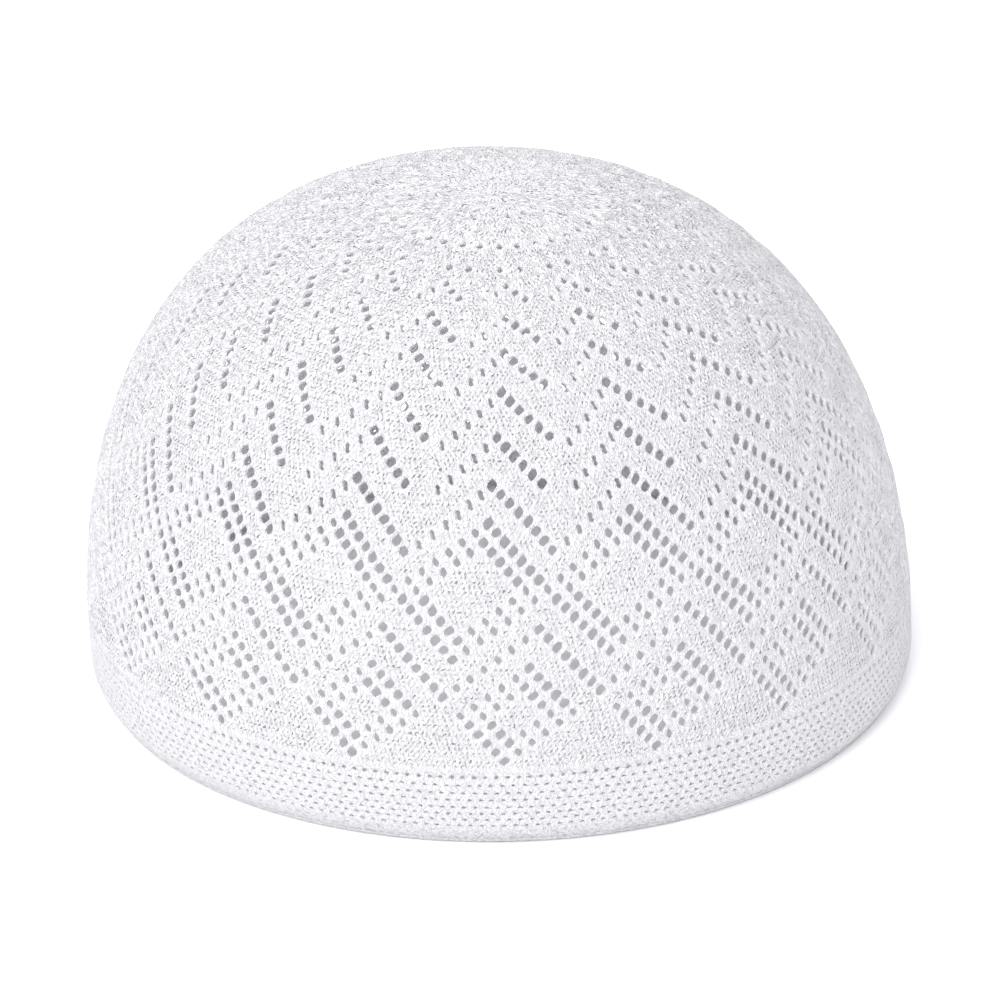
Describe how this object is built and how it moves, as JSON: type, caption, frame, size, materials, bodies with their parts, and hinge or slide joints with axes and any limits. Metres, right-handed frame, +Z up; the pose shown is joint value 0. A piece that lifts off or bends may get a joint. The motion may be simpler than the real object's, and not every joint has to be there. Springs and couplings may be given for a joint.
{
  "type": "knitted prayer cap",
  "caption": "Openwork knitted prayer cap: an oval pierced dome on a close net rim band, standing on its rim.",
  "frame": {"origin": "middle of the rim, on the surface that the cap stands on", "axes": "+X along the head, the long way of the oval; +Y away from the viewer; +Z up to the crown's top"},
  "size_m": [0.19, 0.1628, 0.1181],
  "materials": {
    "crown_knit": "matt white cotton plain knit with eyelets",
    "band_net": "matt white cotton net knit"
  },
  "bodies": {
    "root": {"crown": "crown_knit", "rim_band": "band_net"}
  },
  "joints": []
}
